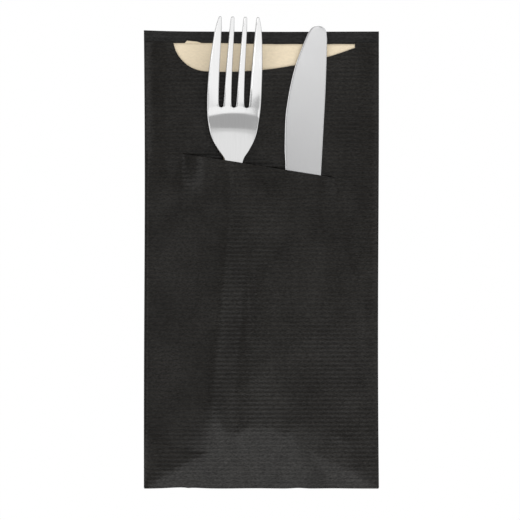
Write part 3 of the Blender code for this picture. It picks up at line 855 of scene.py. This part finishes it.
def fork_rounding(x, from_tip):
    """1 on the fork's flat face, falling to 0 at its rims, at the tines' edges and at its ends."""
    rim = min(fork_half(from_tip) - abs(x), from_tip - TIP_CUT, FORK_LENGTH - from_tip)
    rounding = end_round(max(rim, 0.0), FORK_EDGE_ROUND)
    if from_tip < SLOT_ROOT:
        share = ease((SLOT_ROOT - from_tip) / ROOT_SHARP)
        for left, right in tine_sides(from_tip):
            if left - SAME <= x <= right + SAME:
                slot = end_round(max(min(x - left, right - x), 0.0), FORK_EDGE_ROUND)
                rounding = min(rounding, mix(1.0, slot, share))
    return rounding


def fork_arch(from_tip):
    grown = ease((from_tip - ARCH_FROM) / ARCH_GROWTH)
    return FORK_ARCH * grown * (1 - ease((from_tip - ARCH_UNTIL) / ARCH_DECLINE))


def fork_face(x, from_tip, side):
    """Height of the fork's upper face, or of its lower one where side is -1."""
    off = (x / fork_half(from_tip)) ** 2
    thick = through(FORK_THICKNESS, from_tip) * mix(FORK_RIM, 1.0, fork_rounding(x, from_tip))
    height = through(FORK_HEIGHT, from_tip - fork_arch(from_tip) * off)
    return height + through(FORK_DISH, from_tip) * off + side * thick / 2


def thicken(build, top, low):
    """Draws a flat grid up into a solid between two height functions."""
    lower = list(build.verts)
    drawn = bmesh.ops.extrude_face_region(build, geom=list(build.faces))
    for item in drawn["geom"]:
        if isinstance(item, bmesh.types.BMVert):
            item.co.z = top(item.co.x, item.co.y)
    for vert in lower:
        vert.co.z = low(vert.co.x, vert.co.y)
    bmesh.ops.remove_doubles(build, verts=build.verts, dist=SAME / 2)
    bmesh.ops.recalc_face_normals(build, faces=build.faces)


def settle(build, place, node, x, up):
    """Moves a piece to its place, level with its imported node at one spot."""
    build.transform(place)
    rise = drop(solid_of(node), x, up) - drop(BVHTree.FromBMesh(build), x, up)
    bmesh.ops.translate(build, vec=(0.0, 0.0, rise), verts=build.verts)


def make_fork(material):
    tips = [TIP_CUT + TINE_ROUND * share for share in TIP_SHARES]
    tines = spread(tips[-1], SLOT_ROOT - SLOT_ROOT_ROUND, 44)[1:]
    roots = round_up_to(SLOT_ROOT, SLOT_ROOT_ROUND)
    head = spread(SLOT_ROOT, HEAD_FROM_TIP, 32)[1:]
    handle = spread(HEAD_FROM_TIP, FORK_LENGTH - END_ROUND, 40)[1:]
    places = [*tips, *tines, *roots, *head, *handle, *round_up_to(FORK_LENGTH, END_ROUND)]
    build = new_grid(list(range(len(fork_lines(0.0)))), list(range(len(places))))
    slots = []
    for face in build.faces:
        line, place = face.calc_center_median().xy
        between_tines = int(line) % (TINE_LINES + 1) == TINE_LINES
        if between_tines and places[math.ceil(place)] < SLOT_ROOT + SAME:
            slots.append(face)
    bmesh.ops.delete(build, geom=slots, context="FACES")
    for vert in build.verts:
        from_tip = places[round(vert.co.y)]
        vert.co = fork_lines(from_tip)[round(vert.co.x)], -from_tip, 0.0
    thicken(build, lambda x, y: fork_face(x, -y, 1), lambda x, y: fork_face(x, -y, -1))
    turn = Euler((0.0, FORK_ROLL, FORK_YAW)).to_matrix().to_4x4()
    spot = Matrix.Translation((
        FORK_BOWL[0] - FORK_BOWL_FROM_TIP * math.sin(FORK_YAW),
        POUCH_LOW.y + FORK_BOWL[1] + FORK_BOWL_FROM_TIP * math.cos(FORK_YAW),
        0.0,
    ))
    settle(build, spot @ turn, "fork", *FORK_BOWL)
    fork = new_piece(build, "fork_steel", [material])
    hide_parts("fork")


# Knife, in its own frame: spine on x = 0, tip at y = 0, handle towards -y


@functools.cache
def knife_sides(from_tip):
    belly, back = through(KNIFE_BELLY, from_tip), through(KNIFE_BACK, from_tip)
    share = max(END_WIDTH, end_round(KNIFE_LENGTH - from_tip, END_ROUND))
    middle = (belly + back) / 2
    return mix(middle, belly, share), mix(middle, back, share)


def crown(share):
    """Height of the handle's section across, from 0 at its edges, -1 and 1, to 1 in its middle."""
    flatness, fullness = HANDLE_CROWN
    return (1 - abs(clamp(share, -1.0, 1.0)) ** flatness) ** (1 / fullness)


def knife_thickness(x, from_tip):
    belly, back = knife_sides(from_tip)
    across = clamp((x - belly) / (back - belly))
    blade = mix(BLADE_EDGE, mix(BLADE_POINT, BLADE_SPINE, from_tip / BLADE_LENGTH), across)
    for way, (left_over, width) in ((x - belly, EDGE_ROUND), (back - x, BACK_ROUND)):
        blade *= mix(left_over, 1.0, end_round(way, width))
    handle = through(HANDLE_THICKNESS, from_tip) * mix(HANDLE_RIM, 1.0, crown(2 * across - 1))
    return mix(blade, handle, ease((from_tip - BLADE_LENGTH) / END_ROUND))


def make_knife(material):
    shares = [0.0, 0.012, 0.03, 0.055, *spread(0.09, 0.96, 22), 0.972, 0.982, 0.99, 0.996, 1.0]
    point = [POINT_LENGTH * (step / POINT_STEPS) ** 2 for step in range(POINT_STEPS + 1)]
    blade = spread(POINT_LENGTH, BLADE_LENGTH, 60)[1:]
    handle = spread(BLADE_LENGTH, KNIFE_LENGTH - END_ROUND, 50)[1:]
    places = [*point, *blade, *handle, *round_up_to(KNIFE_LENGTH, END_ROUND)]
    build = new_grid(shares, list(range(len(places))))
    for vert in build.verts:
        from_tip = places[round(vert.co.y)]
        belly, back = knife_sides(from_tip)
        vert.co = mix(belly, back, vert.co.x), -from_tip, 0.0
    thicken(
        build,
        lambda x, y: knife_thickness(x, -y) / 2,
        lambda x, y: -knife_thickness(x, -y) / 2,
    )
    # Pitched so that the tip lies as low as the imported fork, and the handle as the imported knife
    tip_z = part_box("fork")[0].z + BLADE_POINT / 2
    end_from_tip, end_thickness = HANDLE_THICKNESS[-1]
    end_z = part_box("knife")[0].z + end_thickness / 2
    pitch = -math.asin((end_z - tip_z) / end_from_tip)
    turn = Euler((pitch, 0.0, KNIFE_YAW)).to_matrix().to_4x4()
    spot = Matrix.Translation((KNIFE_TIP[0], POUCH_LOW.y + KNIFE_TIP[1], 0.0))
    settle(build, spot @ turn, "knife", *BLADE_MIDDLE)
    knife = new_piece(build, "knife_steel", [material])
    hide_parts("knife")


# Materials


def add_node(tree, kind, inputs=None, **settings):
    """A shader node with its sockets set, or linked where a socket is given."""
    node = tree.nodes.new(kind)
    for name, value in settings.items():
        setattr(node, name, value)
    for name, value in (inputs or {}).items():
        if isinstance(value, bpy.types.NodeSocket):
            tree.links.new(value, node.inputs[name])
        else:
            node.inputs[name].default_value = value
    return node


def worked_out(tree, operation, *values):
    node = add_node(tree, "ShaderNodeMath", dict(enumerate(values)), operation=operation)
    return node.outputs["Value"]


def ranged(tree, value, values, onto):
    """Maps the two values on to another two, and holds what lies beyond at those."""
    return add_node(tree, "ShaderNodeMapRange", {
        "Value": value, "From Min": values[0], "From Max": values[1],
        "To Min": onto[0], "To Max": onto[1],
    }).outputs["Result"]


def toned(tree, color, value):
    """A colour, darker or lighter by a factor that changes over the surface."""
    scaled = add_node(tree, "ShaderNodeVectorMath", {0: color, "Scale": value}, operation="SCALE")
    return scaled.outputs["Vector"]


def add_relief(tree, shader, height, strength, depth):
    bump = add_node(tree, "ShaderNodeBump", {
        "Height": height, "Strength": strength, "Distance": depth,
    })
    tree.links.new(bump.outputs["Normal"], shader.inputs["Normal"])


def new_material(name):
    material = bpy.data.materials.new(name)
    material.use_nodes = True
    tree = material.node_tree
    return material, tree, tree.nodes["Principled BSDF"]


def object_coordinates(tree, scale=(1.0, 1.0, 1.0)):
    place = add_node(tree, "ShaderNodeTexCoord").outputs["Object"]
    return add_node(tree, "ShaderNodeMapping", {"Vector": place, "Scale": scale}).outputs["Vector"]


def new_group(name, inputs, outputs):
    group = bpy.data.node_groups.new(name, "ShaderNodeTree")
    for label, kind, value in inputs:
        socket = group.interface.new_socket(label, in_out="INPUT", socket_type=kind)
        if value is not None:
            socket.default_value = value
    for label in outputs:
        group.interface.new_socket(label, in_out="OUTPUT", socket_type="NodeSocketFloat")
    return group, group.nodes.new("NodeGroupInput"), group.nodes.new("NodeGroupOutput")


def make_fibre_group():
    """Paper fibres: short crossing threads over a cloudy ground."""
    group, source, sink = new_group(
        "paper_fibres",
        [("Vector", "NodeSocketVector", None), ("Fibre Scale", "NodeSocketFloat", 900.0)],
        ["Threads", "Clouds"],
    )
    strands = []
    for turn, stretch in ((0.5, 2.6), (-0.7, 2.1)):
        turned = add_node(group, "ShaderNodeMapping", {
            "Vector": source.outputs["Vector"], "Rotation": (0.5, 0.4, turn),
            "Scale": (1.0, stretch, 1.0),
        })
        strands.append(add_node(group, "ShaderNodeTexNoise", {
            "Vector": turned.outputs["Vector"], "Scale": source.outputs["Fibre Scale"],
            "Detail": 3.0, "Roughness": 0.6,
        }).outputs["Fac"])
    clouds = add_node(group, "ShaderNodeTexNoise", {
        "Vector": source.outputs["Vector"], "Scale": 60.0, "Detail": 4.0, "Roughness": 0.55,
    })
    group.links.new(worked_out(group, "MAXIMUM", *strands), sink.inputs["Threads"])
    group.links.new(clouds.outputs["Fac"], sink.inputs["Clouds"])
    return group


def make_polish_group():
    """Fine lines that a wheel leaves on steel, and faint smudges of handling."""
    group, source, sink = new_group(
        "steel_polish",
        [
            ("Vector", "NodeSocketVector", None), ("Line Scale", "NodeSocketFloat", 900.0),
            ("Smudge Scale", "NodeSocketFloat", 70.0),
        ],
        ["Lines", "Smudges"],
    )
    drawn = add_node(group, "ShaderNodeMapping", {
        "Vector": source.outputs["Vector"], "Scale": (1.0, 0.04, 0.0),
    })
    lines = add_node(group, "ShaderNodeTexNoise", {
        "Vector": drawn.outputs["Vector"], "Scale": source.outputs["Line Scale"],
        "Detail": 5.0, "Roughness": 0.7,
    })
    smudges = add_node(group, "ShaderNodeTexNoise", {
        "Vector": source.outputs["Vector"], "Scale": source.outputs["Smudge Scale"],
        "Detail": 2.0, "Roughness": 0.5,
    })
    group.links.new(lines.outputs["Fac"], sink.inputs["Lines"])
    group.links.new(smudges.outputs["Fac"], sink.inputs["Smudges"])
    return group


def make_kraft(fibres, name, color, ribbed):
    """Black paper. Its ribs are smoother on their crests, and have painted shading: painted lighter
    on their crests and darker in their grooves.
    """
    material, tree, shader = new_material(name)
    place = object_coordinates(tree)
    grain = add_node(tree, "ShaderNodeGroup", {
        "Vector": place, "Fibre Scale": 850.0,
    }, node_tree=fibres)
    threads = ranged(tree, grain.outputs["Threads"], THREAD_VALUES, KRAFT_THREADS)
    clouds = ranged(tree, grain.outputs["Clouds"], NOISE_VALUES, KRAFT_CLOUDS)
    tone = worked_out(tree, "MULTIPLY", threads, clouds)
    gloss = worked_out(tree, "MULTIPLY", tone, KRAFT_GLOSS)
    tree.links.new(gloss, shader.inputs["Specular IOR Level"])
    rough = ranged(tree, grain.outputs["Clouds"], NOISE_VALUES, KRAFT_ROUGH)
    if ribbed:
        up = add_node(tree, "ShaderNodeSeparateXYZ", {"Vector": place}).outputs["Y"]
        start = -2 * math.pi * (POUCH_LOW.y % RIB) / RIB
        phase = worked_out(tree, "ADD", worked_out(tree, "MULTIPLY", up, 2 * math.pi / RIB), start)
        wave = worked_out(tree, "COSINE", phase)
        # Painted shading of the ribs: the colour is lighter on their crests and darker in their
        # grooves
        tone = worked_out(tree, "MULTIPLY", tone, ranged(tree, wave, WAVE_VALUES, RIB_PAINTED_SHADING))
        rough = worked_out(tree, "ADD", rough, ranged(tree, wave, WAVE_VALUES, RIB_ROUGH))
    tree.links.new(toned(tree, color, tone), shader.inputs["Base Color"])
    tree.links.new(rough, shader.inputs["Roughness"])
    add_relief(tree, shader, grain.outputs["Threads"], strength=0.6, depth=0.05 * MM)
    return material


def make_tissue(fibres):
    """Soft tissue with a fine embossed dot."""
    material, tree, shader = new_material("tissue")
    place = object_coordinates(tree)
    grain = add_node(tree, "ShaderNodeGroup", {
        "Vector": place, "Fibre Scale": 500.0,
    }, node_tree=fibres)
    dots = add_node(tree, "ShaderNodeTexVoronoi", {"Vector": place, "Scale": 950.0})
    embossed = ranged(tree, dots.outputs["Distance"], DOT_VALUES, (0.0, 1.0))
    threads = ranged(tree, grain.outputs["Threads"], THREAD_VALUES, TISSUE_THREADS)
    clouds = ranged(tree, grain.outputs["Clouds"], NOISE_VALUES, TISSUE_CLOUDS)
    tone = worked_out(tree, "MULTIPLY", threads, clouds)
    tree.links.new(toned(tree, TISSUE_CREAM, tone), shader.inputs["Base Color"])
    rough = ranged(tree, grain.outputs["Threads"], THREAD_VALUES, TISSUE_ROUGH)
    tree.links.new(rough, shader.inputs["Roughness"])
    shader.inputs["Specular IOR Level"].default_value = TISSUE_GLOSS
    height = worked_out(tree, "ADD", grain.outputs["Threads"], embossed)
    add_relief(tree, shader, height, strength=0.5, depth=0.06 * MM)
    return material


def make_steel(polish, name, color, rough, line_scale, depth):
    material, tree, shader = new_material(name)
    marks = add_node(tree, "ShaderNodeGroup", {
        "Vector": object_coordinates(tree), "Line Scale": line_scale,
    }, node_tree=polish)
    tone = ranged(tree, marks.outputs["Lines"], NOISE_VALUES, STEEL_LINES)
    tree.links.new(toned(tree, color, tone), shader.inputs["Base Color"])
    shader.inputs["Metallic"].default_value = 1.0
    soft = ranged(tree, marks.outputs["Smudges"], NOISE_VALUES, rough)
    tree.links.new(soft, shader.inputs["Roughness"])
    add_relief(tree, shader, marks.outputs["Lines"], strength=0.4, depth=depth)
    return material


def make_floor_material():
    """White paper that looks evenly white to the camera and in the steel, and keeps a shadow."""
    material, tree, shader = new_material("white_floor")
    place = object_coordinates(tree)
    mottle = add_node(tree, "ShaderNodeTexNoise", {"Vector": place, "Scale": 40.0})
    tone = ranged(tree, mottle.outputs["Fac"], (0.0, 1.0), FLOOR_MOTTLE)
    tree.links.new(toned(tree, FLOOR_WHITE, tone), shader.inputs["Base Color"])
    shader.inputs["Roughness"].default_value = FLOOR_ROUGH
    glow = add_node(tree, "ShaderNodeEmission", {"Color": (1, 1, 1, 1), "Strength": 1.0})
    path = add_node(tree, "ShaderNodeLightPath").outputs
    seen = worked_out(tree, "MAXIMUM", path["Is Camera Ray"], path["Is Glossy Ray"])
    blend = add_node(tree, "ShaderNodeMixShader", {
        "Fac": worked_out(tree, "MULTIPLY", seen, FLOOR_GLOW),
        1: shader.outputs["BSDF"], 2: glow.outputs["Emission"],
    })
    tree.links.new(blend.outputs["Shader"], tree.nodes["Material Output"].inputs["Surface"])
    return material


# Studio


def add_soft_panel(name, left, right, low, high, radiance):
    """A light panel that hangs level over the table, this bright as seen from below."""
    light = bpy.data.lights.new(name, "AREA")
    light.shape = "RECTANGLE"
    light.size, light.size_y = right - left, high - low
    light.energy = radiance * math.pi * light.size * light.size_y
    lamp = bpy.data.objects.new(name, light)
    lamp.location = ((left + right) / 2, (low + high) / 2, PANEL_HEIGHT)
    bpy.context.scene.collection.objects.link(lamp)


def make_floor():
    build = bmesh.new()
    bmesh.ops.create_grid(build, x_segments=1, y_segments=1, size=FLOOR_SIDE / 2)
    mesh = bpy.data.meshes.new("floor")
    build.to_mesh(mesh)
    build.free()
    mesh.materials.append(make_floor_material())
    floor = bpy.data.objects.new("floor", mesh)
    floor.location.z = cad_box[0][2] - FLOOR_GAP
    bpy.context.scene.collection.objects.link(floor)


def make_room():
    world = bpy.data.worlds.new("studio")
    world.use_nodes = True
    background = world.node_tree.nodes["Background"]
    background.inputs["Color"].default_value = (1, 1, 1, 1)
    background.inputs["Strength"].default_value = ROOM_LEVEL
    bpy.context.scene.world = world


def make_camera():
    camera = bpy.data.cameras.new("camera")
    camera.sensor_width = SENSOR
    camera.lens = SENSOR * CAMERA_HEIGHT / PHOTO_SPAN
    camera.clip_end = CAMERA_REACH
    eye = bpy.data.objects.new("camera", camera)
    eye.location = (-CAMERA_LEFT, 0.0, CAMERA_HEIGHT)
    bpy.context.scene.collection.objects.link(eye)
    bpy.context.scene.camera = eye


def main():
    make_floor()
    make_room()
    for name, *sides, radiance in SOFT_PANELS:
        add_soft_panel(name, *sides, radiance)
    make_camera()
    bpy.context.scene.view_settings.view_transform = "Standard"
    fibres = make_fibre_group()
    polish = make_polish_group()
    ribbed = make_kraft(fibres, "ribbed_kraft", KRAFT_BLACK, True)
    inside = make_kraft(fibres, "kraft_inside", KRAFT_INSIDE, False)
    # Cut edges painted lighter: a painted highlight along them
    edge = make_kraft(fibres, "kraft_cut_edge_highlight", KRAFT_EDGE_HIGHLIGHT, False)
    make_pouch(FrontPanel(), [ribbed, inside, edge])
    make_napkin(make_tissue(fibres))
    make_fork(make_steel(
        polish, "mirror_steel", STEEL, rough=(0.07, 0.12), line_scale=1500.0, depth=0.001 * MM
    ))
    make_knife(make_steel(
        polish, "satin_steel", STEEL_SATIN, rough=(0.20, 0.22), line_scale=2600.0,
        depth=0.0005 * MM,
    ))


main()
